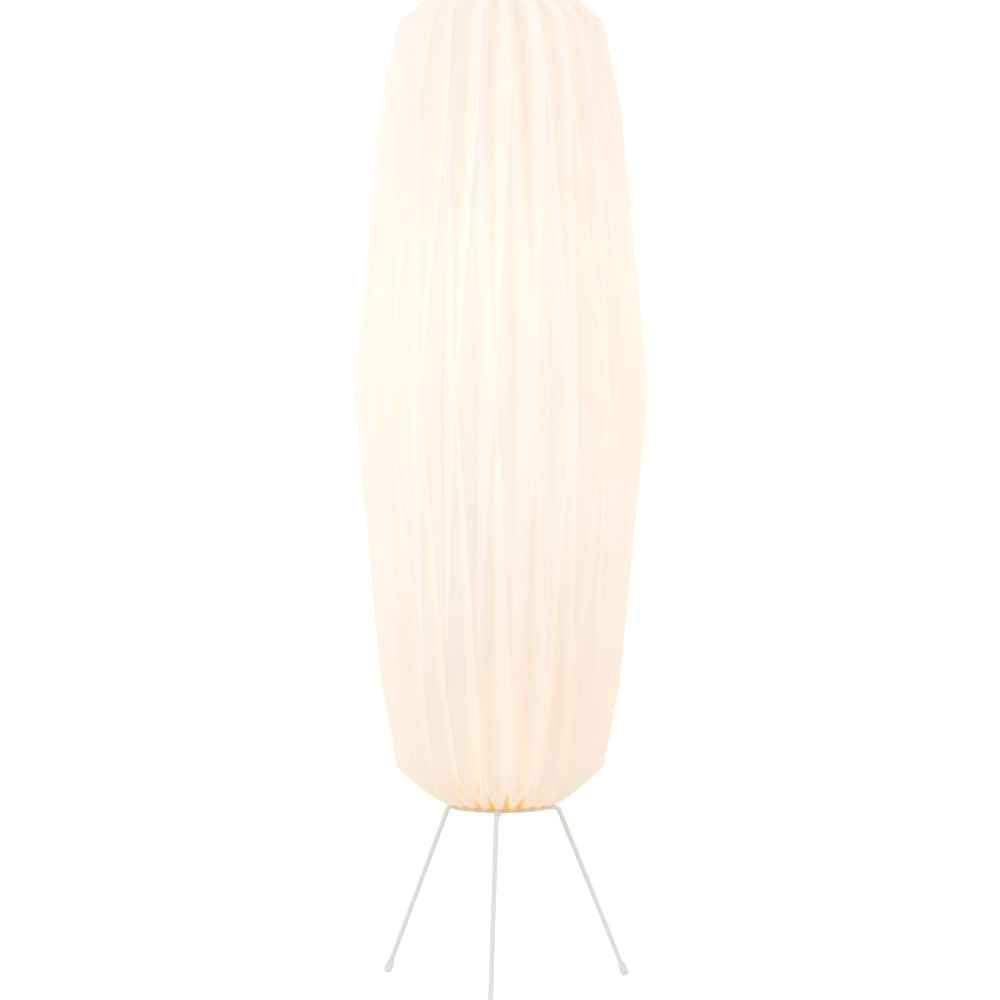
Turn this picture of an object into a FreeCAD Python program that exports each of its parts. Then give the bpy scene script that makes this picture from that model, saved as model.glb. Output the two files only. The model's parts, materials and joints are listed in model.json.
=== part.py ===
import FreeCAD, Part
import math
import os

# Floor lamp: a tall pleated paper lantern standing on a wire tripod.
# Millimetres. Z is up, the origin is on the floor below the lantern's axis.
# Azimuths are in degrees, 0 at the front (-Y) and growing towards +X.

# ---------------------------------------------------------------- paper shade
PLEAT_COUNT = 24                # full pleats round the shade
MIDDLE_PLEAT_DEPTH = 11.4       # ridge to valley at the middle belt
PAPER = 0.5                     # thickness of the sheet
SHEET_COUNT = 4
SEAM_AZIMUTH = -25.0            # fold line where the first and the last sheet meet
RING_SPACING = 980.0            # bottom ring's wire centre to top ring's
WAIST_OFFSET = 340.0            # crease belt above and below the middle belt
SHOULDER_OFFSET = 442.5         # shoulder above and below the middle belt
MIDDLE_RADIUS = 175.5           # ridge radius at each belt, outside the paper
WAIST_RADIUS = 142.5
SHOULDER_RADIUS = 122.5
TIP_OUTSET = 7.5                # pleats' tips beyond the ring's wire centre

# ---------------------------------------------------------------- shade rings
RING_RADIUS = 60.0              # to the wire's centre
RING_WIRE = 5.0
TAB_WIDTH = 7.5                 # paper tab that holds each pleat's tip to a ring
TAB_WRAP = 45.0                 # how far below the ring's middle a tab reaches

# ------------------------------------------------------------------ wire legs
LEG_WIRE = 6.0
LEG_AZIMUTHS = {"front": -4.2, "left": -124.2, "right": 115.8}
ARM_HEIGHT = 211.0              # centre of the level arm under the shade
KNEE_OUTSET = 16.0              # beyond the ring, where the arm's line meets the shin's
KNEE_BEND = 9.0
FOOT_REACH = 167.0              # centre of the foot's rounded end
PEG_REACH = 11.0                # upturned end that plugs into the hub
PEG_BEND = 7.0
PEG_LENGTH = 12.0               # held length inside the hub
FOOT_RADIUS = 5.2
FOOT_MOUTH_RADIUS = 4.2
FOOT_STRAIGHT = 5.5
FOOT_TAPER = 5.5
FOOT_FLAT_DROP = 1.0            # rounded end cut off to make the flat on the floor

# ------------------------------------------------------- saddles for the ring
SADDLE_FLOOR = 1.0              # metal between the arm's top and the ring
SADDLE_BITE = 1.2               # how far the saddle is let down over the arm
SADDLE_WALL = 1.2
SADDLE_WIDTH = 7.0
SADDLE_EAR = 3.5                # ear height above the saddle's floor
SADDLE_CLEARANCE = 0.3
RING_REST_GAP = 0.1

# ------------------------------------------------------------------------ hub
HUB_RADIUS = 18.0
HUB_HEIGHT = 16.0
HUB_CHAMFER = 1.0
HUB_LIFT = 1.0                  # hub's underside above the top of the peg bends
LEG_SCREW_RADIUS = 1.5
LEG_SCREW_LENGTH = 3.6
LEG_SCREW_HEX = 1.5             # across flats
LEG_SCREW_HEX_DEPTH = 1.6
PEG_SCREW_HEIGHT = 7.0          # above the hub's underside

# ----------------------------------------------------------------- cord gland
GLAND_THREAD_RADIUS = 5.0
GLAND_THREAD_LENGTH = 6.0
GLAND_FLATS = 12.0              # across flats of its hexagon
GLAND_BODY_HEIGHT = 4.0
GLAND_NUT_RADIUS = 5.4
GLAND_NUT_CHAMFER = 1.0
GLAND_NUT_HEIGHT = 5.5
GLAND_BORE_RADIUS = 3.1

# ----------------------------------------------------------------------- stem
STEM_RADIUS = 6.0
STEM_WALL = 1.0
STEM_LENGTH = 420.0
STEM_SOCKET = 9.0
NIPPLE_WALL = 1.4
NIPPLE_INSERT = 15.0
WASHER_RADIUS = 10.0
WASHER = 1.5
NUT_FLATS = 14.0
NUT_HEIGHT = 3.5
NIPPLE_PROUD = 1.0              # nipple above its nut

# -------------------------------------------------------------- inner leads
LEAD_RADIUS = 1.1
LEAD_OFFSET = 1.6               # each core beside the axis
LEAD_START = 2.0                # above the hub's underside, inside the gland
LEAD_BEND = 3.0
LEAD_HOLE_DEPTH = 4.0
LEAD_HOLE_CLEARANCE = 0.15

# ----------------------------------------------------- lampholder, E27 thread
HOLDER_RADIUS = 20.5
HOLDER_WALL = 2.0
HOLDER_FLOOR = 3.0
HOLDER_CAP_HEIGHT = 26.0
SKIRT_OVERLAP = 8.0
SKIRT_CLEARANCE = 0.1
SHELL_HEIGHT = 31.0             # above the cap's rim
SHELL_BORE_RADIUS = 14.4
SHELL_RIM_ROUND = 1.5
THREAD_PITCH = 3.63
THREAD_CREST = 0.9              # width of the flat on a crest
THREAD_FOOT = 2.4               # width of a thread where it leaves its wall
SOCKET_THREAD_RADIUS = 13.5     # inside the socket's thread crests
SOCKET_THREAD_START = 2.7       # first crest below the shell's rim
SOCKET_THREAD_COUNT = 3
INSERT = 12.0
INSERT_LEDGE = 1.4
INSERT_CLEARANCE = 0.1
CONTACT_STRIP = 0.5
CONTACT_HEIGHT = 5.5            # centre contact above the insert
CENTRE_CONTACT_WIDTH = 6.0
CENTRE_TONGUE_TIP = 4.0
SIDE_CONTACT_WIDTH = 5.0
SIDE_CONTACT_HEIGHT = 15.0
SIDE_CONTACT_GAP = 0.35         # to the bulb's thread crests
TERMINAL_REACH = 8.0            # terminal screws beside the axis
TERMINAL_SCREW_RADIUS = 1.5
TERMINAL_SCREW_LENGTH = 6.0
TERMINAL_HEAD_RADIUS = 2.7
TERMINAL_HEAD = 1.8
TERMINAL_SLOT = 0.8
FOOT_HOLE_CLEARANCE = 0.2

# ------------------------------------------------------------- bulb, 60 by 107
BULB_GAP = 0.1                  # bulb's tip above the centre contact
BULB_CAP_HEIGHT = 27.0
BULB_THREAD_RADIUS = 13.1       # outside its thread crests
BULB_THREAD_DEPTH = 0.8
BULB_THREAD_START = 2.2         # first crest above the insulator
BULB_THREAD_COUNT = 5
BULB_CAP_WALL = 0.8
TIP_CONTACT_RADIUS = 4.8
TIP_CONTACT_HEIGHT = 1.6
INSULATOR_TOP = 5.2
INSULATOR_SKIRT = 1.2
HOUSING_NECK = 9.0
HOUSING_SHOULDER_RADIUS = 14.0
HOUSING_TOP = 54.0
HOUSING_RADIUS = 27.5
HOUSING_WALL = 1.6
BOARD = 1.6
BOARD_LEDGE = 2.0
BOARD_CLEARANCE = 0.2
LED_COUNT = 8
LED_CIRCLE = 17.0
LED_SIZE = 3.0
LED_HEIGHT = 0.8
GLOBE_RADIUS = 30.0
BULB_LENGTH = 107.0
GLOBE_WALL = 1.2

# --------------------------------------------------------- heights that follow
LEG_R = LEG_WIRE / 2
RING_R = RING_WIRE / 2
ARM_TOP = ARM_HEIGHT + LEG_R
SADDLE_SEAT = ARM_TOP + SADDLE_FLOOR
BOTTOM_RING_Z = SADDLE_SEAT + RING_REST_GAP + RING_R
TOP_RING_Z = BOTTOM_RING_Z + RING_SPACING
MIDDLE_Z = (BOTTOM_RING_Z + TOP_RING_Z) / 2
EDGE_OFFSET = RING_SPACING / 2 - RING_R - PAPER
TIP_RADIUS = RING_RADIUS + TIP_OUTSET
KNEE_REACH = RING_RADIUS + KNEE_OUTSET
HUB_BOTTOM = ARM_HEIGHT + PEG_BEND + HUB_LIFT
HUB_TOP = HUB_BOTTOM + HUB_HEIGHT
STEM_BOTTOM = HUB_TOP - STEM_SOCKET
STEM_TOP = STEM_BOTTOM + STEM_LENGTH
STEM_BORE = STEM_RADIUS - STEM_WALL
NIPPLE_BORE = STEM_BORE - NIPPLE_WALL
HOLDER_BOTTOM = STEM_TOP + WASHER
HOLDER_INSIDE = HOLDER_BOTTOM + HOLDER_FLOOR
HOLDER_RIM = HOLDER_BOTTOM + HOLDER_CAP_HEIGHT
SHELL_TOP = HOLDER_RIM + SHELL_HEIGHT
CAP_NECK_RADIUS = HOLDER_RADIUS - HOLDER_WALL - SKIRT_CLEARANCE
CAP_BORE = CAP_NECK_RADIUS - HOLDER_WALL
INSERT_RADIUS = CAP_BORE - INSERT_CLEARANCE
INSERT_BOTTOM = HOLDER_RIM - INSERT
BULB_Z = HOLDER_RIM + CONTACT_HEIGHT + BULB_GAP
BULB_CAP_BORE = BULB_THREAD_RADIUS - BULB_THREAD_DEPTH - BULB_CAP_WALL
BOARD_RADIUS = HOUSING_RADIUS - HOUSING_WALL - BOARD_CLEARANCE
BOARD_BOTTOM = BULB_Z + HOUSING_TOP - BOARD_LEDGE

UP = FreeCAD.Vector(0, 0, 1)
HALF_PITCH = 180.0 / PLEAT_COUNT


def point(radius, azimuth, z):
    """A point at a radius, an azimuth and a height."""
    angle = math.radians(azimuth)
    return FreeCAD.Vector(radius * math.sin(angle), -radius * math.cos(angle), z)


def disc(radius, bottom, top, x=0.0, y=0.0):
    """An upright round solid."""
    return Part.makeCylinder(radius, top - bottom, FreeCAD.Vector(x, y, bottom))


def tube(radius, bore, bottom, top):
    """An upright tube on the axis."""
    return disc(radius, bottom, top).cut(disc(bore, bottom, top))


def turned(profile):
    """A solid turned about the axis from (radius, height) corners."""
    corners = [FreeCAD.Vector(r, 0, z) for r, z in profile]
    outline = Part.makePolygon(corners + corners[:1])
    return Part.Face(outline).revolve(FreeCAD.Vector(), UP, 360)


def hexagon(flats, bottom, top):
    """An upright hexagonal prism on the axis."""
    reach = flats / 2 / math.cos(math.pi / 6)
    corners = [point(reach, 60 * i, bottom) for i in range(7)]
    return Part.Face(Part.makePolygon(corners)).extrude(UP * (top - bottom))


def bent_wire(corners, bends, radius):
    """A round wire along straight runs joined by tangent bends."""
    edges = []
    start = corners[0]
    for before, corner, after, bend in zip(corners, corners[1:], corners[2:], bends):
        into = (corner - before).normalize()
        away = (after - corner).normalize()
        half_turn = into.getAngle(away) / 2
        tangent = bend * math.tan(half_turn)
        arc_start = corner - into * tangent
        arc_end = corner + away * tangent
        inward = (away - into).normalize()
        arc_middle = corner + inward * (bend / math.cos(half_turn) - bend)
        edges.append(Part.LineSegment(start, arc_start).toShape())
        edges.append(Part.Arc(arc_start, arc_middle, arc_end).toShape())
        start = arc_end
    edges.append(Part.LineSegment(start, corners[-1]).toShape())
    section = Part.Wire(Part.makeCircle(radius, corners[0], corners[1] - corners[0]))
    return Part.Wire(edges).makePipeShell([section], True, False)


def save(name, shape):
    """Write one named piece."""
    shape.exportStep("parts/" + name + ".step")


def threads(root, crest, first, step, count):
    """Corners of plain thread rings along a wall, from the first crest's height."""
    corners = []
    for index in range(count):
        middle = first + index * step
        side = math.copysign(1, step)
        corners += [(root, middle - side * THREAD_FOOT / 2), (crest, middle - side * THREAD_CREST / 2),
                    (crest, middle + side * THREAD_CREST / 2), (root, middle + side * THREAD_FOOT / 2)]
    return corners


# ------------------------------------------------------------------ paper sheets
def strip_angle(ridge, valley, at_ridge):
    """Angle between a strip and the radius, at its ridge or its valley."""
    half = math.radians(HALF_PITCH)
    if at_ridge:
        return math.atan2(valley * math.sin(half), ridge - valley * math.cos(half))
    return math.atan2(ridge * math.sin(half), ridge * math.cos(half) - valley)


def strip_width():
    """Width of one flat strip between two fold lines, from the middle belt's pleats."""
    half = math.radians(HALF_PITCH)
    across = MIDDLE_RADIUS * math.sin(half)
    inward = MIDDLE_PLEAT_DEPTH - MIDDLE_RADIUS * (1 - math.cos(half))
    return math.hypot(across, inward)


def belt(offset, ridge, tips_on_odd):
    """One crease belt: height, the two radii, their paper depths, and its ridge lines."""
    half = math.radians(HALF_PITCH)
    slack = strip_width() ** 2 - (ridge * math.sin(half)) ** 2
    valley = ridge * math.cos(half) - math.sqrt(slack)
    ridge_depth = PAPER / math.sin(strip_angle(ridge, valley, True))
    valley_depth = PAPER / math.sin(strip_angle(ridge, valley, False))
    return {"z": MIDDLE_Z + offset, "ridge": (ridge, ridge_depth),
            "valley": (valley, valley_depth), "odd": tips_on_odd}


def belts():
    """The belts from the bottom edge to the top edge."""
    half_shade = [(0.0, MIDDLE_RADIUS, True), (WAIST_OFFSET, WAIST_RADIUS, False),
                  (SHOULDER_OFFSET, SHOULDER_RADIUS, False), (EDGE_OFFSET, TIP_RADIUS, True)]
    lower = [belt(-offset, ridge, odd) for offset, ridge, odd in reversed(half_shade[1:])]
    upper = [belt(offset, ridge, odd) for offset, ridge, odd in half_shade]
    return lower + upper


def is_ridge(level, line):
    """Whether a fold line stands out at a belt."""
    return (line % 2 == 1) == level["odd"]


def fold_point(level, line, layer):
    """A fold line's point at a belt, layer sheets in from the outside."""
    radius, depth = level["ridge"] if is_ridge(level, line) else level["valley"]
    return point(radius - layer * depth, SEAM_AZIMUTH + HALF_PITCH * line, level["z"])


def pleated_sheet(first, last, layer):
    """A folded sheet from one fold line to another, as a closed thin solid."""
    levels = belts()
    faces = []
    for low, high in zip(levels, levels[1:]):
        for line in range(first, last):
            for side in (layer, layer + 1):
                a, b = fold_point(low, line, side), fold_point(low, line + 1, side)
                c, d = fold_point(high, line + 1, side), fold_point(high, line, side)
                if is_ridge(low, line):
                    faces += [[a, b, c], [a, c, d]]
                else:
                    faces += [[a, b, d], [b, c, d]]
        for line in (first, last):
            faces.append([fold_point(low, line, layer), fold_point(high, line, layer),
                          fold_point(high, line, layer + 1), fold_point(low, line, layer + 1)])
    for level in (levels[0], levels[-1]):
        for line in range(first, last):
            faces.append([fold_point(level, line, layer), fold_point(level, line + 1, layer),
                          fold_point(level, line + 1, layer + 1), fold_point(level, line, layer + 1)])
    skin = [Part.Face(Part.makePolygon(corners + corners[:1])) for corners in faces]
    shell = Part.makeShell(skin)
    shell.sewShape()
    sheet = Part.makeSolid(shell)
    if sheet.Volume < 0:
        sheet.reverse()
    return sheet


def shade_paper():
    """The folded sheets and the strips glued inside over their seams."""
    lines = 2 * PLEAT_COUNT // SHEET_COUNT
    for index, side in enumerate(("front_right", "back_right", "back_left", "front_left")):
        save("paper_sheet_" + side, pleated_sheet(index * lines, (index + 1) * lines, 0))
    for index, side in enumerate(("front", "right", "back", "left")):
        save("seam_strip_" + side, pleated_sheet(index * lines - 1, index * lines + 1, 1))


# ------------------------------------------------------------------ shade rings
def ring_tabs(ring_z, inward):
    """Glued paper tabs, one at each pleat's tip; inward is +1 or -1 towards the paper."""
    crown = ring_z + inward * RING_R
    over = ring_z + inward * (RING_R + PAPER)
    outer = RING_R + PAPER
    lip_angle = math.asin(RING_R / outer)
    wrap = -math.radians(TAB_WRAP)
    middle_in = (math.pi / 2 + wrap) / 2
    middle_out = (lip_angle + wrap) / 2

    def on_ring(radius, angle):
        return FreeCAD.Vector(RING_RADIUS + radius * math.cos(angle), 0,
                              ring_z + inward * radius * math.sin(angle))

    inner_start = on_ring(RING_R, wrap)
    inner_end = FreeCAD.Vector(RING_RADIUS, 0, crown)
    fold = FreeCAD.Vector(RING_RADIUS, 0, over)
    lip_top = FreeCAD.Vector(TIP_RADIUS, 0, over)
    lip_under = FreeCAD.Vector(TIP_RADIUS, 0, crown)
    outer_start = on_ring(outer, lip_angle)
    outer_end = on_ring(outer, wrap)
    outline = Part.Wire([
        Part.Arc(inner_start, on_ring(RING_R, middle_in), inner_end).toShape(),
        Part.LineSegment(inner_end, fold).toShape(),
        Part.LineSegment(fold, lip_top).toShape(),
        Part.LineSegment(lip_top, lip_under).toShape(),
        Part.LineSegment(lip_under, outer_start).toShape(),
        Part.Arc(outer_start, on_ring(outer, middle_out), outer_end).toShape(),
        Part.LineSegment(outer_end, inner_start).toShape()])
    sweep = math.degrees(TAB_WIDTH / TIP_RADIUS)
    tab = Part.Face(outline).revolve(FreeCAD.Vector(), UP, sweep)
    tabs = []
    for pleat in range(PLEAT_COUNT):
        azimuth = SEAM_AZIMUTH + HALF_PITCH * (2 * pleat + 1)
        turn = azimuth - 90 - sweep / 2
        tabs.append(tab.rotated(FreeCAD.Vector(), UP, turn))
    return Part.makeCompound(tabs)


def shade_rings():
    """The wire ring in each mouth of the shade, with its tabs."""
    for name, ring_z, inward in (("bottom", BOTTOM_RING_Z, 1), ("top", TOP_RING_Z, -1)):
        save(name + "_ring", Part.makeTorus(RING_RADIUS, RING_R, FreeCAD.Vector(0, 0, ring_z)))
        save(name + "_ring_tabs", ring_tabs(ring_z, inward))


# ----------------------------------------------------------------------- tripod
def foot_centre(azimuth):
    """Centre of a foot's rounded end."""
    return point(FOOT_REACH, azimuth, FOOT_RADIUS - FOOT_FLAT_DROP)


def leg(azimuth):
    """One leg: upturned peg, level arm, knee and splayed shin in one wire."""
    corners = [point(PEG_REACH, azimuth, HUB_BOTTOM + PEG_LENGTH), point(PEG_REACH, azimuth, ARM_HEIGHT),
               point(KNEE_REACH, azimuth, ARM_HEIGHT), foot_centre(azimuth)]
    return bent_wire(corners, [PEG_BEND, KNEE_BEND], LEG_R)


def foot_cap(azimuth):
    """A moulded cap pushed over the shin's end, flat where it stands on the floor."""
    centre = foot_centre(azimuth)
    along = point(KNEE_REACH, azimuth, ARM_HEIGHT) - centre
    barrel = Part.makeCylinder(FOOT_RADIUS, FOOT_STRAIGHT, centre, along)
    taper_base = centre + along.normalize() * FOOT_STRAIGHT
    taper = Part.makeCone(FOOT_RADIUS, FOOT_MOUTH_RADIUS, FOOT_TAPER, taper_base, along)
    bore = Part.makeCylinder(LEG_R, FOOT_STRAIGHT + FOOT_TAPER, centre, along)
    cap = Part.makeSphere(FOOT_RADIUS, centre).fuse([barrel, taper]).removeSplitter().cut(bore)
    margin = 4 * FOOT_RADIUS
    floor_block = Part.makeBox(2 * margin, 2 * margin, margin,
                               FreeCAD.Vector(centre.x - margin, centre.y - margin, -margin))
    return cap.cut(floor_block)


def ring_saddle(azimuth):
    """A small channel brazed on an arm, which the shade's ring drops into."""
    inside = RING_RADIUS - RING_R - SADDLE_CLEARANCE
    outside = RING_RADIUS + RING_R + PAPER + SADDLE_CLEARANCE
    bottom = ARM_TOP - SADDLE_BITE
    block = Part.makeBox(outside - inside + 2 * SADDLE_WALL, SADDLE_WIDTH, SADDLE_SEAT + SADDLE_EAR - bottom,
                         FreeCAD.Vector(inside - SADDLE_WALL, -SADDLE_WIDTH / 2, bottom))
    channel = Part.makeBox(outside - inside, SADDLE_WIDTH, SADDLE_EAR,
                           FreeCAD.Vector(inside, -SADDLE_WIDTH / 2, SADDLE_SEAT))
    arm = Part.makeCylinder(LEG_R, outside, FreeCAD.Vector(RING_RADIUS / 2, 0, ARM_HEIGHT),
                            FreeCAD.Vector(1, 0, 0))
    return block.cut([channel, arm]).rotated(FreeCAD.Vector(), UP, azimuth - 90)


def hub():
    """The turned hub: three peg bores, their screw holes, gland thread and stem socket."""
    body = turned([(0, HUB_BOTTOM), (HUB_RADIUS - HUB_CHAMFER, HUB_BOTTOM),
                   (HUB_RADIUS, HUB_BOTTOM + HUB_CHAMFER), (HUB_RADIUS, HUB_TOP - HUB_CHAMFER),
                   (HUB_RADIUS - HUB_CHAMFER, HUB_TOP), (0, HUB_TOP)])
    holes = [disc(STEM_RADIUS, STEM_BOTTOM, HUB_TOP), disc(GLAND_THREAD_RADIUS, HUB_BOTTOM, STEM_BOTTOM)]
    for azimuth in LEG_AZIMUTHS.values():
        peg = point(PEG_REACH, azimuth, 0)
        holes.append(disc(LEG_R, HUB_BOTTOM, HUB_BOTTOM + PEG_LENGTH, peg.x, peg.y))
        start = point(PEG_REACH + LEG_R / 2, azimuth, HUB_BOTTOM + PEG_SCREW_HEIGHT)
        holes.append(Part.makeCylinder(LEG_SCREW_RADIUS, HUB_RADIUS, start, point(1, azimuth, 0)))
    return body.cut(holes)


def leg_set_screws():
    """One headless screw against each peg."""
    screws = []
    for azimuth in LEG_AZIMUTHS.values():
        outward = point(1, azimuth, 0)
        start = point(PEG_REACH, azimuth, HUB_BOTTOM + PEG_SCREW_HEIGHT)
        length = LEG_R + LEG_SCREW_LENGTH
        screw = Part.makeCylinder(LEG_SCREW_RADIUS, length, start, outward)
        peg = disc(LEG_R, HUB_BOTTOM, HUB_BOTTOM + PEG_LENGTH, start.x, start.y)
        key = hexagon(LEG_SCREW_HEX, 0, LEG_SCREW_HEX_DEPTH)
        key.Placement = FreeCAD.Placement(start + outward * (length - LEG_SCREW_HEX_DEPTH),
                                          FreeCAD.Rotation(UP, outward))
        screws.append(screw.cut([peg, key]))
    return Part.makeCompound(screws)


def cord_gland():
    """The cord's inlet under the hub: threaded body with a hexagon."""
    hexagon_bottom = HUB_BOTTOM - GLAND_BODY_HEIGHT
    body = hexagon(GLAND_FLATS, hexagon_bottom, HUB_BOTTOM)
    thread = disc(GLAND_THREAD_RADIUS, HUB_BOTTOM, HUB_BOTTOM + GLAND_THREAD_LENGTH)
    return body.fuse(thread).cut(disc(GLAND_BORE_RADIUS, hexagon_bottom, HUB_BOTTOM + GLAND_THREAD_LENGTH))


def gland_nut():
    """The clamping nut on the gland's lower end."""
    top = HUB_BOTTOM - GLAND_BODY_HEIGHT
    bottom = top - GLAND_NUT_HEIGHT
    return turned([(GLAND_BORE_RADIUS, bottom), (GLAND_NUT_RADIUS - GLAND_NUT_CHAMFER, bottom),
                   (GLAND_NUT_RADIUS, bottom + GLAND_NUT_CHAMFER), (GLAND_NUT_RADIUS, top),
                   (GLAND_BORE_RADIUS, top)])


def tripod():
    """The three wire legs, their feet and saddles, the hub and the gland."""
    for side, azimuth in LEG_AZIMUTHS.items():
        save("leg_" + side, leg(azimuth))
        save("foot_cap_" + side, foot_cap(azimuth))
        save("ring_saddle_" + side, ring_saddle(azimuth))
    save("hub", hub())
    save("leg_set_screws", leg_set_screws())
    save("cord_gland", cord_gland())
    save("gland_nut", gland_nut())


# ------------------------------------------------------------------------- stem
def inner_leads():
    """Two insulated cores from the gland up the stem to the terminals."""
    leads = []
    fan_z = HOLDER_INSIDE + NUT_HEIGHT + NIPPLE_PROUD + LEAD_BEND
    for side in (-1, 1):
        near = side * LEAD_OFFSET
        far = side * TERMINAL_REACH
        corners = [FreeCAD.Vector(near, 0, HUB_BOTTOM + LEAD_START), FreeCAD.Vector(near, 0, fan_z),
                   FreeCAD.Vector(far, 0, fan_z), FreeCAD.Vector(far, 0, INSERT_BOTTOM + LEAD_HOLE_DEPTH)]
        leads.append(bent_wire(corners, [LEAD_BEND, LEAD_BEND], LEAD_RADIUS))
    return Part.makeCompound(leads)


def stem():
    """Stem tube, threaded nipple, washer, lock nut and the leads inside."""
    save("stem_tube", tube(STEM_RADIUS, STEM_BORE, STEM_BOTTOM, STEM_TOP))
    nipple_top = HOLDER_INSIDE + NUT_HEIGHT + NIPPLE_PROUD
    save("holder_nipple", tube(STEM_BORE, NIPPLE_BORE, STEM_TOP - NIPPLE_INSERT, nipple_top))
    save("holder_washer", tube(WASHER_RADIUS, STEM_BORE, STEM_TOP, HOLDER_BOTTOM))
    nut = hexagon(NUT_FLATS, HOLDER_INSIDE, HOLDER_INSIDE + NUT_HEIGHT)
    save("nipple_nut", nut.cut(disc(STEM_BORE, HOLDER_INSIDE, HOLDER_INSIDE + NUT_HEIGHT)))
    save("inner_leads", inner_leads())


# ------------------------------------------------------------------- lampholder
def holder_cap():
    """The lampholder's lower cup, screwed down on the nipple."""
    neck_z = HOLDER_RIM - SKIRT_OVERLAP
    return turned([(STEM_BORE, HOLDER_BOTTOM), (HOLDER_RADIUS - HOLDER_WALL, HOLDER_BOTTOM),
                   (HOLDER_RADIUS, HOLDER_BOTTOM + HOLDER_WALL), (HOLDER_RADIUS, neck_z),
                   (CAP_NECK_RADIUS, neck_z), (CAP_NECK_RADIUS, HOLDER_RIM), (CAP_BORE, HOLDER_RIM),
                   (CAP_BORE, INSERT_BOTTOM), (CAP_BORE - INSERT_LEDGE, INSERT_BOTTOM),
                   (CAP_BORE - INSERT_LEDGE, HOLDER_INSIDE), (STEM_BORE, HOLDER_INSIDE)])


def holder_insert():
    """The ceramic insert that carries the contacts and terminals."""
    holes = []
    for side in (-1, 1):
        x = side * TERMINAL_REACH
        holes.append(disc(LEAD_RADIUS + LEAD_HOLE_CLEARANCE, INSERT_BOTTOM, INSERT_BOTTOM + LEAD_HOLE_DEPTH, x))
        holes.append(disc(TERMINAL_SCREW_RADIUS, HOLDER_RIM - TERMINAL_SCREW_LENGTH, HOLDER_RIM, x))
    return disc(INSERT_RADIUS, INSERT_BOTTOM, HOLDER_RIM).cut(holes)


def bent_strip(profile, width):
    """A contact strip: an (x, height) outline as wide as given, centred on y = 0."""
    corners = [FreeCAD.Vector(x, -width / 2, z) for x, z in profile]
    return Part.Face(Part.makePolygon(corners + corners[:1])).extrude(FreeCAD.Vector(0, width, 0))


def terminal_hole(x):
    """Clearance for a terminal screw through a contact's foot."""
    return disc(TERMINAL_SCREW_RADIUS + FOOT_HOLE_CLEARANCE, HOLDER_RIM, HOLDER_RIM + CONTACT_STRIP, x)


def centre_contact():
    """The sprung tongue under the bulb's tip."""
    base = HOLDER_RIM
    over = base + CONTACT_STRIP
    top = base + CONTACT_HEIGHT
    under = top - CONTACT_STRIP
    heel = TERMINAL_REACH + TERMINAL_HEAD_RADIUS
    toe = TERMINAL_REACH - TERMINAL_HEAD_RADIUS - CONTACT_STRIP
    tip = -CENTRE_TONGUE_TIP
    crown = toe - CONTACT_HEIGHT / 2
    strip = bent_strip([(heel, base), (heel, over), (toe, over), (crown, top), (tip, top), (tip, under),
                        (crown - CONTACT_STRIP, under), (toe - CONTACT_STRIP, base)], CENTRE_CONTACT_WIDTH)
    return strip.cut(terminal_hole(TERMINAL_REACH))


def side_contact():
    """The upright strip beside the bulb's threaded cap."""
    base = HOLDER_RIM
    inner = -(BULB_THREAD_RADIUS + SIDE_CONTACT_GAP)
    outer = inner - CONTACT_STRIP
    toe = -(TERMINAL_REACH - TERMINAL_HEAD_RADIUS)
    strip = bent_strip([(toe, base), (toe, base + CONTACT_STRIP), (inner, base + CONTACT_STRIP),
                        (inner, base + SIDE_CONTACT_HEIGHT), (outer, base + SIDE_CONTACT_HEIGHT),
                        (outer, base)], SIDE_CONTACT_WIDTH)
    return strip.cut(terminal_hole(-TERMINAL_REACH))


def terminal_screws():
    """The screw on each contact's foot."""
    screws = []
    seat = HOLDER_RIM + CONTACT_STRIP
    for side in (-1, 1):
        x = side * TERMINAL_REACH
        head = disc(TERMINAL_HEAD_RADIUS, seat, seat + TERMINAL_HEAD, x)
        slot = Part.makeBox(2 * TERMINAL_HEAD_RADIUS, TERMINAL_SLOT, TERMINAL_HEAD / 2,
                            FreeCAD.Vector(x - TERMINAL_HEAD_RADIUS, -TERMINAL_SLOT / 2, seat + TERMINAL_HEAD / 2))
        shank = disc(TERMINAL_SCREW_RADIUS, HOLDER_RIM - TERMINAL_SCREW_LENGTH, seat, x)
        screws.append(head.cut(slot).fuse(shank))
    return Part.makeCompound(screws)


def holder_shell():
    """The lampholder's upper shell with the socket's thread."""
    inner_skirt = HOLDER_RADIUS - HOLDER_WALL
    shoulder = HOLDER_RIM + SKIRT_CLEARANCE
    profile = [(inner_skirt, HOLDER_RIM - SKIRT_OVERLAP), (HOLDER_RADIUS, HOLDER_RIM - SKIRT_OVERLAP),
               (HOLDER_RADIUS, SHELL_TOP - SHELL_RIM_ROUND), (HOLDER_RADIUS - SHELL_RIM_ROUND, SHELL_TOP),
               (SHELL_BORE_RADIUS, SHELL_TOP)]
    profile += threads(SHELL_BORE_RADIUS, SOCKET_THREAD_RADIUS, SHELL_TOP - SOCKET_THREAD_START,
                       -THREAD_PITCH, SOCKET_THREAD_COUNT)
    profile += [(SHELL_BORE_RADIUS, shoulder), (inner_skirt, shoulder)]
    return turned(profile)


def lampholder():
    """The pieces of the lampholder."""
    save("lampholder_cap", holder_cap())
    save("lampholder_insert", holder_insert())
    save("centre_contact", centre_contact())
    save("side_contact", side_contact())
    save("terminal_screws", terminal_screws())
    save("lampholder_shell", holder_shell())


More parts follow.
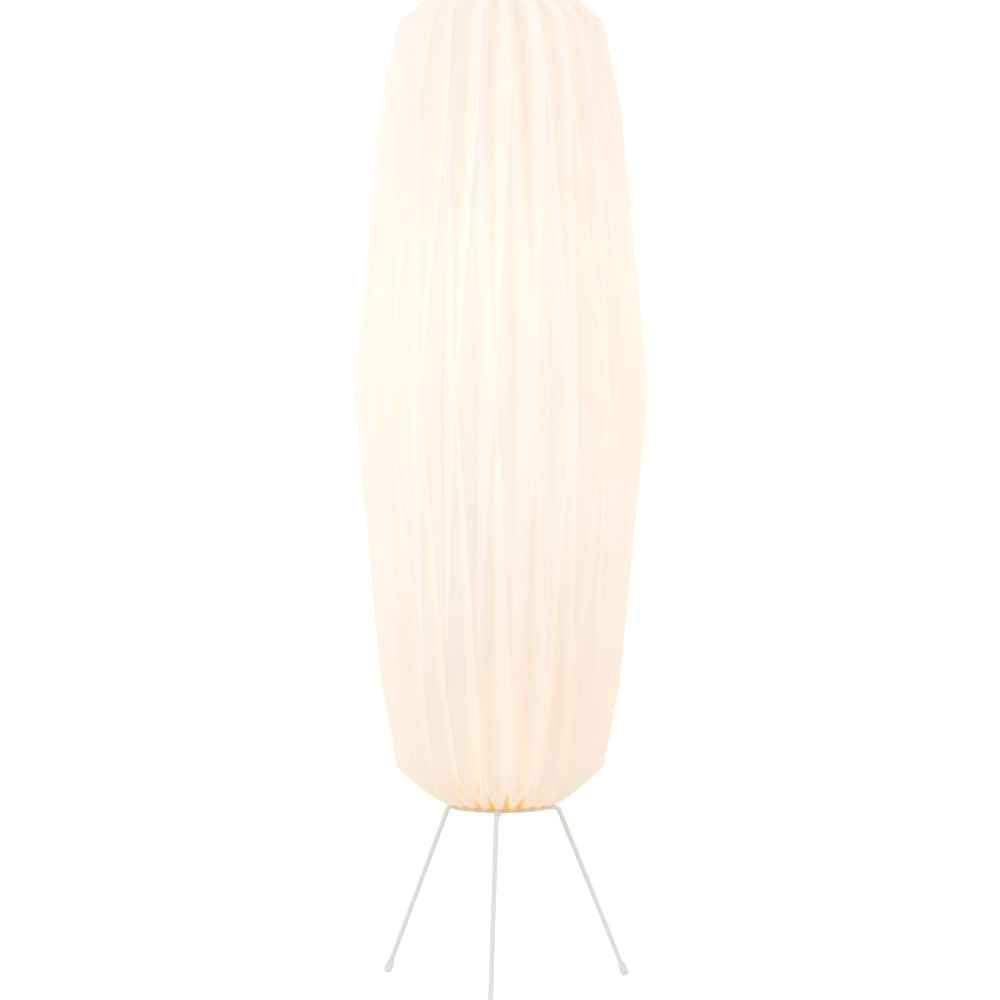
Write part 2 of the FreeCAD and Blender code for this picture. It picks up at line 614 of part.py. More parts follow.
# ------------------------------------------------------------------------- bulb
def bulb_screw_cap():
    """The bulb's threaded metal cap."""
    root = BULB_THREAD_RADIUS - BULB_THREAD_DEPTH
    bottom = BULB_Z + INSULATOR_TOP
    top = BULB_Z + BULB_CAP_HEIGHT
    profile = [(BULB_CAP_BORE, bottom), (root, bottom)]
    profile += threads(root, BULB_THREAD_RADIUS, bottom + BULB_THREAD_START, THREAD_PITCH, BULB_THREAD_COUNT)
    profile += [(root, top), (BULB_CAP_BORE, top)]
    return turned(profile)


def bulb_insulator():
    """The black glass between the screw cap and the tip."""
    low = BULB_Z + TIP_CONTACT_HEIGHT
    high = BULB_Z + INSULATOR_TOP
    root = BULB_THREAD_RADIUS - BULB_THREAD_DEPTH
    return turned([(0, low), (TIP_CONTACT_RADIUS, low), (root, high), (BULB_CAP_BORE, high),
                   (BULB_CAP_BORE, high + INSULATOR_SKIRT), (0, high + INSULATOR_SKIRT)])


def bulb_tip_contact():
    """The solder button at the bottom of the bulb."""
    half = TIP_CONTACT_HEIGHT / 2
    return turned([(0, BULB_Z), (TIP_CONTACT_RADIUS - half, BULB_Z), (TIP_CONTACT_RADIUS, BULB_Z + half),
                   (TIP_CONTACT_RADIUS, BULB_Z + TIP_CONTACT_HEIGHT), (0, BULB_Z + TIP_CONTACT_HEIGHT)])


def bulb_housing():
    """The hollow moulded body between the screw cap and the globe."""
    cap_top = BULB_Z + BULB_CAP_HEIGHT
    top = BULB_Z + HOUSING_TOP
    waist_z = (cap_top + top) / 2 - HOUSING_WALL
    waist = (HOUSING_SHOULDER_RADIUS + HOUSING_RADIUS) / 2
    ledge = HOUSING_RADIUS - HOUSING_WALL - BOARD_LEDGE
    neck_bore = BULB_CAP_BORE - HOUSING_WALL
    return turned([(neck_bore, cap_top - HOUSING_NECK), (BULB_CAP_BORE, cap_top - HOUSING_NECK),
                   (BULB_CAP_BORE, cap_top), (HOUSING_SHOULDER_RADIUS, cap_top),
                   (HOUSING_SHOULDER_RADIUS, cap_top + HOUSING_WALL), (waist, waist_z),
                   (HOUSING_RADIUS, top), (HOUSING_RADIUS - HOUSING_WALL, top),
                   (HOUSING_RADIUS - HOUSING_WALL, BOARD_BOTTOM), (ledge, BOARD_BOTTOM),
                   (waist - HOUSING_WALL, waist_z), (neck_bore, cap_top + HOUSING_WALL)])


def globe_outline(radius, foot, foot_z, top_z):
    """The globe's curve from its foot to its top, as two tangent arcs."""
    centre_z = top_z - radius
    equator = FreeCAD.Vector(radius, 0, centre_z)
    start = FreeCAD.Vector(foot, 0, foot_z)
    rise = centre_z - foot_z
    inset = radius - foot
    flank = (rise ** 2 + inset ** 2) / (2 * inset)
    half = math.asin(rise / flank) / 2
    flank_middle = FreeCAD.Vector(radius - flank * (1 - math.cos(half)), 0, centre_z - flank * math.sin(half))
    dome_middle = FreeCAD.Vector(radius * math.cos(math.pi / 4), 0, centre_z + radius * math.sin(math.pi / 4))
    top = FreeCAD.Vector(0, 0, top_z)
    return [Part.Arc(start, flank_middle, equator).toShape(), Part.Arc(equator, dome_middle, top).toShape()]


def bulb_globe():
    """The frosted globe, seated on the housing's rim."""
    foot_z = BULB_Z + HOUSING_TOP
    top_z = BULB_Z + BULB_LENGTH
    inner_foot = HOUSING_RADIUS - GLOBE_WALL
    outside = globe_outline(GLOBE_RADIUS, HOUSING_RADIUS, foot_z, top_z)
    inside = globe_outline(GLOBE_RADIUS - GLOBE_WALL, inner_foot, foot_z, top_z - GLOBE_WALL)
    foot = Part.LineSegment(FreeCAD.Vector(inner_foot, 0, foot_z), FreeCAD.Vector(HOUSING_RADIUS, 0, foot_z))
    crown = Part.LineSegment(FreeCAD.Vector(0, 0, top_z), FreeCAD.Vector(0, 0, top_z - GLOBE_WALL))
    edges = [foot.toShape()] + outside + [crown.toShape()] + inside
    outline = Part.Wire(Part.__sortEdges__(edges))
    return Part.Face(outline).revolve(FreeCAD.Vector(), UP, 360)


def bulb_leds():
    """The light-emitting chips on the board."""
    chips = []
    for index in range(LED_COUNT):
        centre = point(LED_CIRCLE, 360.0 / LED_COUNT * index, BOARD_BOTTOM + BOARD)
        corner = FreeCAD.Vector(centre.x - LED_SIZE / 2, centre.y - LED_SIZE / 2, centre.z)
        chips.append(Part.makeBox(LED_SIZE, LED_SIZE, LED_HEIGHT, corner))
    return Part.makeCompound(chips)


def bulb():
    """The pieces of the screw-in bulb."""
    save("bulb_screw_cap", bulb_screw_cap())
    save("bulb_insulator", bulb_insulator())
    save("bulb_tip_contact", bulb_tip_contact())
    save("bulb_housing", bulb_housing())
    save("bulb_globe", bulb_globe())
    save("bulb_led_board", disc(BOARD_RADIUS, BOARD_BOTTOM, BOARD_BOTTOM + BOARD))
    save("bulb_leds", bulb_leds())


os.makedirs("parts", exist_ok=True)
tripod()
stem()
lampholder()
bulb()
shade_rings()
shade_paper()
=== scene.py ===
"""Paper lantern floor lamp: its folded shade, its finishes, and the studio around it."""
import json
import math
import random
from collections import namedtuple

import bpy
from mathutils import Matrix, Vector


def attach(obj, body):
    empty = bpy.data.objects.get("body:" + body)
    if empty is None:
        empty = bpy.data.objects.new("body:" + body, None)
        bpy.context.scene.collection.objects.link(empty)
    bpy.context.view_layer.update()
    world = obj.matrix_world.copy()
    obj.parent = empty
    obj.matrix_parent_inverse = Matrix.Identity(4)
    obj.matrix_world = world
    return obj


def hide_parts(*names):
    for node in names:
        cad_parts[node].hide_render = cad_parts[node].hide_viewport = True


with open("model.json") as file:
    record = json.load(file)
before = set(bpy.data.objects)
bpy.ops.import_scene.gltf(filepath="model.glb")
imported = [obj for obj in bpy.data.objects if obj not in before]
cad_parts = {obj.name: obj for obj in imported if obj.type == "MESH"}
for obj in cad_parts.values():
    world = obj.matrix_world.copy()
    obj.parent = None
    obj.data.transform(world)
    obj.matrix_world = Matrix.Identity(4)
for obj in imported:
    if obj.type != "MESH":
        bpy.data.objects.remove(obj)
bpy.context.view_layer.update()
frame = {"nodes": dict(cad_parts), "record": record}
nodes = frame["nodes"]
mm = 0.001

# ------------------------------------------------------------ the folds, in metres
PLEATS = 24
LINES = 2 * PLEATS
HALF_PITCH = math.radians(180 / PLEATS)
SEAM_AZIMUTH = math.radians(-25)    # fold line 0
PAPER = 0.4 * mm
MIDDLE_Z = 0.7076                   # the middle belt above the floor
MIDDLE_RADIUS = 0.1755
MIDDLE_PLEAT_DEPTH = 0.0114
SPLIT_HEIGHT = 0.340                # up and down from the middle to where the ridges split
SPLIT_RADIUS = 0.1425
RING_HEIGHT = 0.487                 # up and down from the middle to the rings
RING_RADIUS = 0.0675

# height is from the middle belt, and rows are the mesh's rows up to the next belt
Belt = namedtuple("Belt", "height ridge odd_ridges rows")
BELTS = [
    Belt(-RING_HEIGHT, RING_RADIUS, True, 14),
    Belt(-0.4425, 0.1225, False, 14),
    Belt(-SPLIT_HEIGHT, SPLIT_RADIUS, False, 44),
    Belt(0.0, MIDDLE_RADIUS, True, 44),
    Belt(SPLIT_HEIGHT, SPLIT_RADIUS, False, 14),
    Belt(0.4375, 0.1215, False, 14),
    Belt(RING_HEIGHT, RING_RADIUS, True, 0),
]
EDGES = (0, len(BELTS) - 1)
STRIP_WIDTH = math.hypot(MIDDLE_RADIUS * math.sin(HALF_PITCH),
                         MIDDLE_PLEAT_DEPTH - MIDDLE_RADIUS * (1 - math.cos(HALF_PITCH)))
FOLD_ROUND = 0.6 * mm               # a fold's soft width on each side
CREASE_MARGIN = 0.04                # least share of a strip beside its slanted crease
SHARP_FOLD = math.radians(70)

# how hand folding strays: spreads of the normal draws, in degrees and millimetres
FOLDING_SEED = 24
STRAY_TURN = 1.0
STRAY_OUT = 1.1
STRAY_RISE = 1.6
STRAY_BOW = 0.55
MOST_OUT = 1.2 * mm                 # no fold line strays outward further than this
RING_HOLD = 0.15                    # share of the stray left where the rings hold the paper
BOW_EASE = 0.15                     # how far into its swing a strip's bow starts at a belt

# under the lower shoulder the paper stands out in a belly, and its valleys end lower
BELLY = 5.2 * mm
BELLY_RISE = 8
BELLY_FALL = 3
TUCK = 4.0 * mm


def valley_radius(ridge):
    """The valley's radius where a strip of constant width starts at a ridge."""
    across = ridge * math.sin(HALF_PITCH)
    return ridge * math.cos(HALF_PITCH) - math.sqrt(STRIP_WIDTH ** 2 - across ** 2)


def is_ridge(level, line):
    """Whether a fold line is a ridge at a belt, or else a valley."""
    return (line % 2 == 1) == BELTS[level].odd_ridges


def hand_folding():
    """How far each fold line strays at each belt: azimuth, radius and height."""
    dice = random.Random(FOLDING_SEED)
    strays = {}
    for level in range(len(BELTS)):
        held = level in EDGES
        loose = RING_HOLD if held else 1.0
        for line in range(LINES):
            turn = math.radians(dice.gauss(0, STRAY_TURN)) * loose
            out = dice.gauss(0, STRAY_OUT) * mm * loose
            rise = dice.gauss(0, STRAY_RISE) * mm * (0.0 if held else 1.0)
            strays[level, line] = (turn, out, rise)
    return strays


def strip_bow(line, level):
    """How far the middle of a strip bows outward at a belt."""
    dice = random.Random(line * len(BELTS) + level)
    return dice.gauss(0, STRAY_BOW) * mm


STRAYS = hand_folding()
BOWS = [[strip_bow(line, level) for level in range(len(BELTS))] for line in range(LINES)]


def fold_point(level, line, inset):
    """A fold line's point at a belt, an inset inside the outer face."""
    belt = BELTS[level]
    ridge = is_ridge(level, line)
    turn, out, rise = STRAYS[level, line % LINES]
    radius = (belt.ridge if ridge else valley_radius(belt.ridge)) + min(out, MOST_OUT) - inset
    azimuth = SEAM_AZIMUTH + HALF_PITCH * line + turn
    if level == 0 and not ridge:
        rise -= TUCK
    return Vector((radius * math.sin(azimuth), -radius * math.cos(azimuth),
                   MIDDLE_Z + belt.height + rise))


def belly(z):
    """How far the paper under the lower shoulder stands out past straight folds."""
    low, high = BELTS[0].height, BELTS[1].height
    way = min(1, max(0, (z - MIDDLE_Z - low) / (high - low)))
    return BELLY * (1 - (1 - way) ** BELLY_RISE) * (1 - way ** BELLY_FALL)


def strip_point(level, line, u, v, inset):
    """A point on the strip from one line to the next, between a belt and the one above it."""
    a, b = fold_point(level, line, inset), fold_point(level, line + 1, inset)
    d, c = fold_point(level + 1, line, inset), fold_point(level + 1, line + 1, inset)
    if is_ridge(level, line) == is_ridge(level + 1, line):
        place = (a * (1 - u) + b * u) * (1 - v) + (d * (1 - u) + c * u) * v
    elif is_ridge(level, line):
        place = a + (b - a) * u + (c - b) * v if u >= v else a + (d - a) * v + (c - d) * u
    elif u + v <= 1:
        place = a + (b - a) * u + (d - a) * v
    else:
        place = c + (d - c) * (1 - u) + (b - c) * (1 - v)
    outward = (b - a).cross(d - a).normalized()
    bows = BOWS[line % LINES]
    bow = bows[level] * (1 - v) + bows[level + 1] * v
    swing = math.pi * (BOW_EASE + v * (1 - 2 * BOW_EASE))
    place = place + outward * bow * math.sin(math.pi * u) * math.sin(swing)
    swell = 1 + belly(place.z) / math.hypot(place.x, place.y)
    return Vector((place.x * swell, place.y * swell, place.z))


def crease_place(level, line, v):
    """Where across the strip its slanted crease runs at a height."""
    if is_ridge(level, line) != is_ridge(level + 1, line):
        place = v if is_ridge(level, line) else 1 - v
    else:
        place = 0 if is_ridge(level, line) else 1
    return min(1 - CREASE_MARGIN, max(CREASE_MARGIN, place))


def columns_at(level, line, v):
    """Where the mesh's columns stand across a strip: close together at folds and crease."""
    crease = crease_place(level, line, v)
    rest = 1 - crease
    soft = FOLD_ROUND / STRIP_WIDTH
    near, far = min(soft, crease / 4), min(soft, rest / 4)
    return [0, near, crease / 3, 2 * crease / 3, crease - near, crease,
            crease + far, crease + rest / 3, crease + 2 * rest / 3, 1 - far]


def envelope(z):
    """The ridge radius at a height."""
    offset = min(max(z - MIDDLE_Z, BELTS[0].height), BELTS[-1].height)
    for low, high in zip(BELTS, BELTS[1:]):
        if offset <= high.height:
            break
    way = (offset - low.height) / (high.height - low.height)
    return low.ridge + (high.ridge - low.ridge) * way + belly(z)


def paper_layer(first, last, inset):
    """Rows of points over a run of strips, each with its distance in strips from the first line."""
    rows = []
    for level, belt in enumerate(BELTS[:-1]):
        closing_row = level == len(BELTS) - 2
        for step in range(belt.rows + closing_row):
            v = step / belt.rows
            row = []
            for line in range(first, last):
                for u in columns_at(level, line, v):
                    row.append((strip_point(level, line, u, v, inset), line + u - first))
            row.append((strip_point(level, last - 1, 1, v, inset), last - first))
            rows.append(row)
    return rows


def sheet_faces(height, width):
    """The faces of a closed sheet: outer and inner layer, both sides, both ends."""
    back = height * width
    faces = []
    for i in range(height - 1):
        for j in range(width - 1):
            a, b = i * width + j, i * width + j + 1
            c, d = b + width, a + width
            faces.append((a, b, c, d))
            faces.append((back + d, back + c, back + b, back + a))
    for i in range(height - 1):
        left, right = i * width, i * width + width - 1
        faces.append((left, left + width, back + left + width, back + left))
        faces.append((right + width, right, back + right, back + right + width))
    top = (height - 1) * width
    for j in range(width - 1):
        faces.append((j + 1, j, back + j, back + j + 1))
        faces.append((top + j, top + j + 1, back + top + j + 1, back + top + j))
    return faces


def folded_paper(name, first, last, inset, material):
    """One folded sheet as a closed mesh, with how deep each point lies behind the ridges."""
    outer = paper_layer(first, last, inset)
    inner = paper_layer(first, last, inset + PAPER)
    points = [point for row in outer + inner for point, _ in row]
    along = [way for row in outer + inner for _, way in row]
    mesh = bpy.data.meshes.new(name)
    mesh.from_pydata(points, [], sheet_faces(len(outer), len(outer[0])))
    mesh.update()
    mesh.shade_smooth()
    depth = mesh.attributes.new("depth", "FLOAT", "POINT")
    depth.data.foreach_set("value", [(envelope(p.z) - math.hypot(p.x, p.y)) / mm for p in points])
    strip = mesh.attributes.new("strip", "FLOAT", "POINT")
    strip.data.foreach_set("value", along)
    piece = bpy.data.objects.new(name, mesh)
    bpy.context.scene.collection.objects.link(piece)
    mesh.materials.append(material)
    edges = piece.modifiers.new("edges", "EDGE_SPLIT")
    edges.split_angle = SHARP_FOLD
    return piece


# ---------------------------------------------------------------------- materials
class Wire:
    """A shader socket that takes part in sums as a number does."""

    def __init__(self, tree, socket):
        self.tree, self.socket = tree, socket

    def node(self, kind, sockets=(), **settings):
        """A new node, its settings made and its inputs linked or set; returns its first output."""
        node = self.tree.nodes.new(kind)
        for key, value in settings.items():
            setattr(node, key, value)
        for key, value in dict(sockets).items():
            if isinstance(value, Wire):
                self.tree.links.new(value.socket, node.inputs[key])
            else:
                node.inputs[key].default_value = value
        output = next(o for o in node.outputs if o.enabled)
        return Wire(self.tree, output)

    def math(self, operation, *values):
        return self.node("ShaderNodeMath", dict(enumerate((self,) + values)), operation=operation)

    def __add__(self, other):
        return self.math("ADD", other)

    def __sub__(self, other):
        return self.math("SUBTRACT", other)

    def __mul__(self, other):
        return self.math("MULTIPLY", other)

    def __truediv__(self, other):
        return self.math("DIVIDE", other)

    def __rsub__(self, other):
        return self * -1 + other

    def __rtruediv__(self, other):
        return self.math("POWER", -1) * other

    __radd__ = __add__
    __rmul__ = __mul__

    def smooth(self, low, high):
        """0 below low, 1 above high, and smooth between."""
        return self.node("ShaderNodeMapRange", {"Value": self, "From Min": low, "From Max": high},
                         interpolation_type="SMOOTHSTEP")

    def blend(self, first, second):
        """A mix of two colours, this number of the second."""
        return self.node("ShaderNodeMix", {0: self, 6: first, 7: second}, data_type="RGBA")

    def grey(self):
        """This number as a grey."""
        return self.node("ShaderNodeCombineColor", {0: self, 1: self, 2: self})

    def tinted(self, colour):
        """This colour times another."""
        return self.node("ShaderNodeMix", {0: 1.0, 6: self, 7: colour},
                         data_type="RGBA", blend_type="MULTIPLY")


class Finish:
    """A node material for one of the lamp's surfaces."""

    def __init__(self, name, **constants):
        self.material = bpy.data.materials.new(name)
        self.material.use_nodes = True
        self.tree = self.material.node_tree
        self.shader = self.tree.nodes["Principled BSDF"]
        for key, value in constants.items():
            self.shader.inputs[key.replace("_", " ")].default_value = value
        start = self.tree.nodes.new("ShaderNodeTexCoord")
        self.place = Wire(self.tree, start.outputs["Object"])

    def attribute(self, name):
        """A number that the mesh keeps at its points."""
        node = self.tree.nodes.new("ShaderNodeAttribute")
        node.attribute_name = name
        return Wire(self.tree, node.outputs["Fac"])

    def height(self):
        """How high a point of the surface is."""
        node = self.tree.nodes.new("ShaderNodeSeparateXYZ")
        self.tree.links.new(self.place.socket, node.inputs[0])
        return Wire(self.tree, node.outputs["Z"])

    def noise(self, scale, stretch=(1, 1, 1), detail=3.0):
        """Even noise, its grains scale to the metre, stretched along the axes."""
        place = self.place.node("ShaderNodeVectorMath", {0: self.place, 1: stretch},
                                operation="MULTIPLY")
        return self.place.node("ShaderNodeTexNoise",
                               {"Vector": place, "Scale": scale, "Detail": detail})

    def give(self, **inputs):
        """Link values that change over the surface to the shader."""
        for key, value in inputs.items():
            self.tree.links.new(value.socket, self.shader.inputs[key.replace("_", " ")])

    def bump(self, height, distance):
        """Fine relief."""
        self.give(Normal=self.place.node("ShaderNodeBump",
                                         {"Height": height, "Distance": distance, "Strength": 1.0}))


def rgb(red, green, blue):
    return (red, green, blue, 1.0)


PAPER_GLOSS = 0.25
BRIGHTEST = 0.775               # height at which the bulb lights the paper most
GLOW_REACH = 0.26               # and how far above and below that drops to half
WARM_BELOW, WHITE_ABOVE = 0.30, 0.92
MOUTH_TOP = 0.259               # below this the paper turns in to the bottom ring
MOUTH_FADE = 0.032
SEAM_LINE = 0.035               # share of a strip's width that a glued seam darkens
HOUSING_TOP = 0.730             # the bulb's housing shades the globe's foot up to here
SHADE_END = 0.750
FLOOR_LIT = 0.20                # below this the floor lights the legs
FLOOR_LIT_FADE = 0.12


def inner_light(finish):
    """The bulb's light in the paper at a height: warm low down, whiter above."""
    z = finish.height()
    drop = (z - BRIGHTEST) / GLOW_REACH
    near = 1.0 / (drop * drop + 1.0)
    far = z.smooth(WARM_BELOW, WHITE_ABOVE).blend(rgb(0.405, 0.298, 0.212),
                                                  rgb(0.395, 0.332, 0.308))
    return near.blend(far, rgb(0.458, 0.400, 0.305))


def lit_paper(name):
    """White folded paper with the bulb's light coming through it."""
    finish = Finish(name, Specular_IOR_Level=PAPER_GLOSS, Emission_Strength=1.0)
    depth = finish.attribute("depth")
    strip = finish.attribute("strip")
    fibres = finish.noise(900, (1, 1, 0.25), 4.0)
    clouds = finish.noise(14, (1, 1, 0.35), 3.0)
    streaks = finish.noise(150, (1, 1, 0.03), 2.0)
    bands = finish.noise(60, (1, 1, 0.02), 2.0)

    # the sheet's own colour, painted darker as shade where it turns in at the mouth, and painted
    # dark orange deep in the mouth's recesses as shade warmed by light bouncing about there
    mouth = (MOUTH_TOP - finish.height()).smooth(0, MOUTH_FADE)
    recess = mouth * depth.smooth(6, 14)
    base = clouds.blend(rgb(0.645, 0.635, 0.62), rgb(0.68, 0.672, 0.66))
    base = (mouth * 0.35).blend(base, rgb(0.58, 0.52, 0.42))
    base = recess.blend(base, rgb(0.49, 0.31, 0.10))

    # the light through it, warmer down in the folds and orange in the recesses
    through = (depth.smooth(3, 18) * 0.28).blend(inner_light(finish), rgb(0.50, 0.36, 0.19))
    through = (mouth * depth.smooth(1, 8) * 0.4).blend(through, rgb(0.55, 0.39, 0.17))
    through = recess.blend(through, rgb(0.70, 0.335, 0.07))

    # uneven paper: cloudy, streaked and faintly warm and cool along its length
    level = (clouds - 0.5) * 0.08 + (fibres - 0.5) * 0.04 + (streaks - 0.5) * 0.16 + 1.045
    # the glow is painted dimmer deep in the folds, as painted shade
    level = level - depth.smooth(2, 14) * 0.08
    tint = bands.smooth(0.38, 0.62).blend(rgb(1.02, 0.99, 0.95), rgb(0.98, 1.0, 1.045))
    glow = level.grey().tinted(tint).tinted(through)

    seam = 1.0 - strip.smooth(0.0, SEAM_LINE)
    finish.give(Base_Color=(seam * 0.25).blend(base, rgb(0.42, 0.36, 0.29)),
                Emission_Color=(seam * 0.45).blend(glow, rgb(0.12, 0.085, 0.05)),
                Roughness=fibres * 0.16 + 0.70)
    finish.bump(fibres, 0.06 * mm)
    return finish.material


def plain_paper(name):
    """Glued paper at the seams and the rings, painted darker and with a dimmer, warmer glow as the
    rings' shade.
    """
    finish = Finish(name, Specular_IOR_Level=PAPER_GLOSS, Emission_Strength=1.0)
    fibres = finish.noise(900, (1, 1, 0.4), 4.0)
    finish.give(Base_Color=fibres.blend(rgb(0.62, 0.58, 0.52), rgb(0.68, 0.64, 0.58)),
                Emission_Color=inner_light(finish).tinted(rgb(0.62, 0.50, 0.36)),
                Roughness=fibres * 0.16 + 0.70)
    finish.bump(fibres, 0.06 * mm)
    return finish.material


def powder_coat(name, low, high, rough, bright=None):
    """White powder coat with its fine orange peel; bright is its colour near the floor, a painted
    lighter tone standing in for the floor's light.
    """
    finish = Finish(name, Specular_IOR_Level=0.45)
    peel = finish.noise(1400, (1, 1, 1), 2.0)
    film = finish.noise(35, (1, 1, 0.5), 2.0)
    colour = film.blend(low, high)
    # near the floor the coat is painted lighter, as painted light from the floor
    if bright:
        colour = (FLOOR_LIT - finish.height()).smooth(0, FLOOR_LIT_FADE).blend(colour, bright)
    finish.give(Base_Color=colour, Roughness=peel * 0.12 + rough)
    finish.bump(peel, 0.04 * mm)
    return finish.material


def moulded(name, low, high, rough):
    """Moulded plastic or glazed ceramic with a faint mottle."""
    finish = Finish(name, Specular_IOR_Level=0.5)
    mottle = finish.noise(120, (1, 1, 1), 3.0)
    grain = finish.noise(2500, (1, 1, 1), 2.0)
    finish.give(Base_Color=mottle.blend(low, high), Roughness=grain * 0.12 + rough)
    finish.bump(grain, 0.02 * mm)
    return finish.material


def metal(name, low, high, rough, stretch=(1, 1, 1)):
    """Bare or plated metal with drawn or turned marks."""
    finish = Finish(name, Metallic=1.0)
    marks = finish.noise(700, stretch, 3.0)
    cloud = finish.noise(60, (1, 1, 1), 2.0)
    finish.give(Base_Color=cloud.blend(low, high), Roughness=marks * 0.2 + rough)
    finish.bump(marks, 0.03 * mm)
    return finish.material


def lit_globe(name):
    """The frosted globe, glowing warm white, less where its housing shades it."""
    finish = Finish(name, Specular_IOR_Level=0.4, Emission_Strength=0.8)
    frost = finish.noise(1600, (1, 1, 1), 2.0)
    clear = finish.height().smooth(HOUSING_TOP, SHADE_END)
    finish.give(Base_Color=frost.blend(rgb(0.52, 0.51, 0.48), rgb(0.57, 0.56, 0.53)),
                Emission_Color=clear.blend(rgb(0.85, 0.52, 0.22), rgb(0.95, 0.74, 0.46)),
                Roughness=frost * 0.15 + 0.45)
    finish.bump(frost, 0.03 * mm)
    return finish.material


TURNED = (0.2, 0.2, 3.0)        # marks that run around a turned piece
white_paper = lit_paper("lit_paper")
tab_paper = plain_paper("glued_paper")
finishes = {
    "leg_wire": powder_coat("leg_powder_coat", rgb(0.91, 0.905, 0.89), rgb(0.94, 0.935, 0.92),
                            0.36, bright=rgb(0.96, 0.96, 0.95)),
    # the ring's white coat is painted a warm beige-brown, as painted shade under the lit paper
    "ring_wire": powder_coat("ring_coat_painted_shade", rgb(0.79, 0.72, 0.62), rgb(0.83, 0.76, 0.66),
                             0.40),
    "hub": powder_coat("hub_powder_coat", rgb(0.72, 0.72, 0.69), rgb(0.77, 0.77, 0.74), 0.38),
    "stem": powder_coat("stem_powder_coat", rgb(0.74, 0.73, 0.70), rgb(0.79, 0.78, 0.75), 0.36),
    "foot": moulded("foot_plastic", rgb(0.95, 0.955, 0.935), rgb(0.97, 0.975, 0.955), 0.52),
    "gland": moulded("gland_nylon", rgb(0.76, 0.76, 0.73), rgb(0.82, 0.82, 0.79), 0.45),
    "holder": moulded("holder_plastic", rgb(0.80, 0.80, 0.77), rgb(0.85, 0.85, 0.83), 0.25),
    "ceramic": moulded("white_ceramic", rgb(0.80, 0.78, 0.74), rgb(0.86, 0.84, 0.80), 0.30),
    "lead": moulded("lead_insulation", rgb(0.62, 0.62, 0.60), rgb(0.70, 0.70, 0.68), 0.40),
    "bulb_body": moulded("bulb_plastic", rgb(0.84, 0.84, 0.82), rgb(0.89, 0.89, 0.88), 0.38),
    "board": moulded("board_lacquer", rgb(0.80, 0.80, 0.78), rgb(0.86, 0.86, 0.84), 0.35),
    "led": moulded("led_phosphor", rgb(0.85, 0.62, 0.12), rgb(0.92, 0.72, 0.20), 0.30),
    "bulb_black": moulded("black_glass", rgb(0.012, 0.012, 0.014), rgb(0.03, 0.03, 0.034), 0.12),
    "screw_steel": metal("screw_zinc", rgb(0.55, 0.55, 0.57), rgb(0.68, 0.68, 0.70), 0.28),
    "thread_steel": metal("thread_zinc", rgb(0.56, 0.55, 0.52), rgb(0.68, 0.67, 0.62), 0.30,
                          TURNED),
    "brass": metal("contact_brass", rgb(0.72, 0.50, 0.20), rgb(0.82, 0.62, 0.30), 0.25),
    "bulb_metal": metal("cap_aluminium", rgb(0.74, 0.74, 0.75), rgb(0.84, 0.84, 0.85), 0.26,
                        TURNED),
    "solder": metal("tip_solder", rgb(0.60, 0.60, 0.62), rgb(0.72, 0.72, 0.74), 0.35),
    "bulb_globe": lit_globe("globe_frost"),
    "tab_paper": tab_paper,
    "paper": white_paper,
}
# the saddles share the legs' slot, but get their own copy of its coat, painted a warmer white as
# the lit paper's light above them
saddle_lit_coat = powder_coat("saddle_coat_painted_light", rgb(0.88, 0.85, 0.80), rgb(0.92, 0.89, 0.84),
                            0.38)

slot_of = {part["node"]: part["material_slot"] for part in frame["record"]["subparts"]}
for node_name, node_object in nodes.items():
    saddle = node_name.startswith("ring_saddle")
    node_object.data.materials.clear()
    node_object.data.materials.append(saddle_lit_coat if saddle else finishes[slot_of[node_name]])

# ---------------------------------------------------------------------- the shade
QUARTER = LINES // 4
SEAM_INSET = PAPER + 0.5 * mm

for quarter, side in enumerate(("front_right", "back_right", "back_left", "front_left")):
    first = quarter * QUARTER
    sheet = folded_paper("shade_paper_" + side, first, first + QUARTER, 0.0, white_paper)
    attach(sheet, "shade")
    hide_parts("paper_sheet_" + side)

for quarter, side in enumerate(("front", "right", "back", "left")):
    line = quarter * QUARTER
    strip = folded_paper("seam_paper_" + side, line - 1, line + 1, SEAM_INSET, tab_paper)
    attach(strip, "shade")
    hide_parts("seam_strip_" + side)

# --------------------------------------------------------------------- the studio
FLOOR_REACH = 14.0
FLOOR_SIDES = 96
SKY_LIGHT = 0.66
SKY_SEEN = 1.0


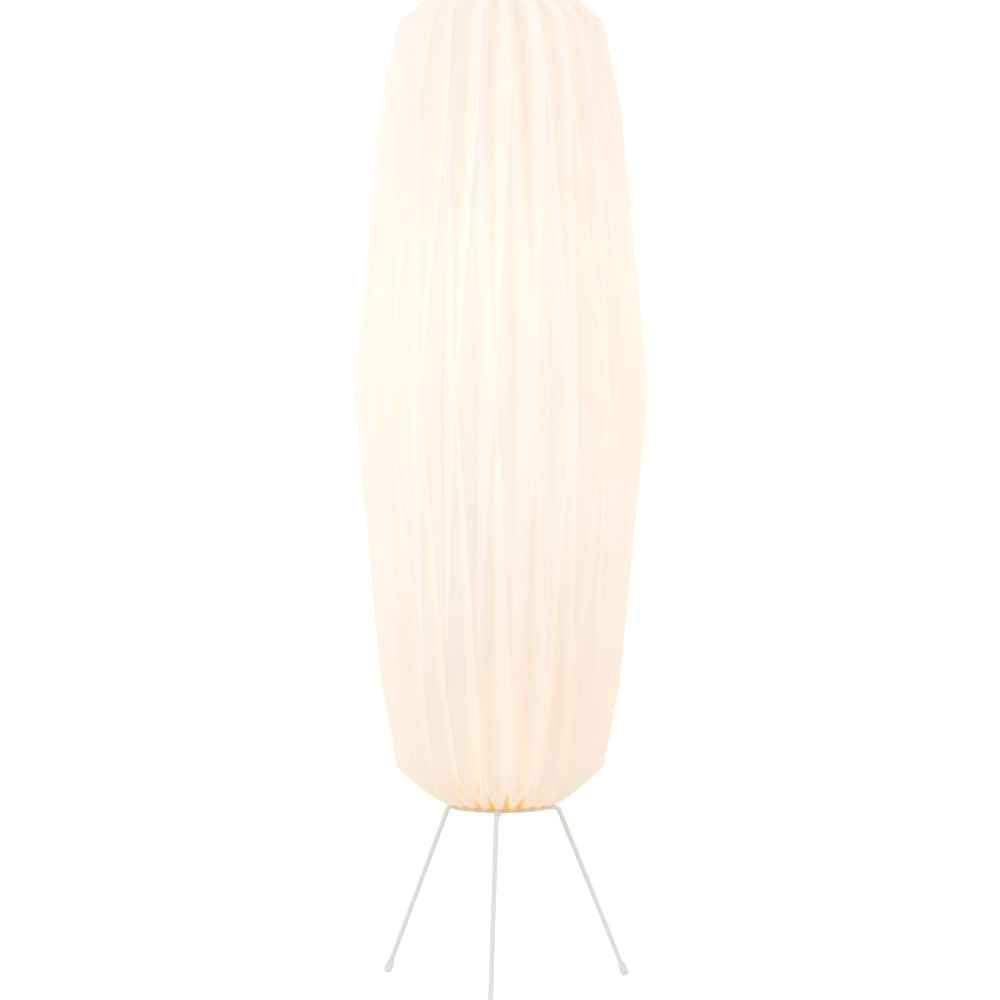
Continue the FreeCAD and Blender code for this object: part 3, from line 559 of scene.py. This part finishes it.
def studio_floor():
    """A pale floor that runs out of sight."""
    turns = [math.tau * side / FLOOR_SIDES for side in range(FLOOR_SIDES)]
    rim = [(FLOOR_REACH * math.cos(turn), FLOOR_REACH * math.sin(turn), 0.0) for turn in turns]
    mesh = bpy.data.meshes.new("studio_floor")
    mesh.from_pydata(rim, [], [tuple(range(FLOOR_SIDES))])
    floor = bpy.data.objects.new("studio_floor", mesh)
    bpy.context.scene.collection.objects.link(floor)
    finish = Finish("studio_floor", Roughness=0.9, Specular_IOR_Level=0.0, Emission_Strength=1.0,
                    Emission_Color=rgb(0.92, 0.92, 0.92), Base_Color=rgb(0.35, 0.35, 0.35))
    mesh.materials.append(finish.material)
    floor.visible_diffuse = False


def soft_light(name, place, aim, size, power, colour):
    """A square softbox."""
    lamp = bpy.data.lights.new(name, "AREA")
    lamp.shape = "SQUARE"
    lamp.size = size
    lamp.energy = power
    lamp.color = colour
    box = bpy.data.objects.new(name, lamp)
    box.location = place
    box.rotation_euler = (Vector(aim) - Vector(place)).to_track_quat("-Z", "Y").to_euler()
    bpy.context.scene.collection.objects.link(box)


def studio_sky():
    """White behind the lamp, dimmer as a light."""
    world = bpy.data.worlds.new("studio")
    world.use_nodes = True
    tree = world.node_tree
    back = tree.nodes["Background"]
    path = tree.nodes.new("ShaderNodeLightPath")
    mix = tree.nodes.new("ShaderNodeMix")
    mix.inputs["A"].default_value = SKY_LIGHT
    mix.inputs["B"].default_value = SKY_SEEN
    tree.links.new(path.outputs["Is Camera Ray"], mix.inputs["Factor"])
    tree.links.new(mix.outputs["Result"], back.inputs["Strength"])
    back.inputs["Color"].default_value = rgb(1, 1, 1)
    bpy.context.scene.world = world


studio_floor()
studio_sky()
soft_light("key_softbox", place=(-2.6, -2.2, 1.9), aim=(0, 0, 0.75), size=1.6, power=22.5,
           colour=(0.72, 0.915, 1.0))
soft_light("fill_softbox", place=(3.15, -0.7, 1.2), aim=(0, 0, 0.7), size=1.6, power=15,
           colour=(1.0, 0.70, 0.53))

# --------------------------------------------------------------------- the camera
EYE = Vector((0, -3.805, 0.700))
LOOKS_AT = Vector((-0.0012, 0, 0.5813))

lens = bpy.data.cameras.new("camera")
lens.sensor_width = 36
lens.lens = 115.2
lens.clip_end = 100
camera = bpy.data.objects.new("camera", lens)
camera.location = EYE
camera.rotation_euler = (LOOKS_AT - EYE).to_track_quat("-Z", "Y").to_euler()
bpy.context.scene.collection.objects.link(camera)
bpy.context.scene.camera = camera
bpy.context.scene.view_settings.view_transform = "Standard"
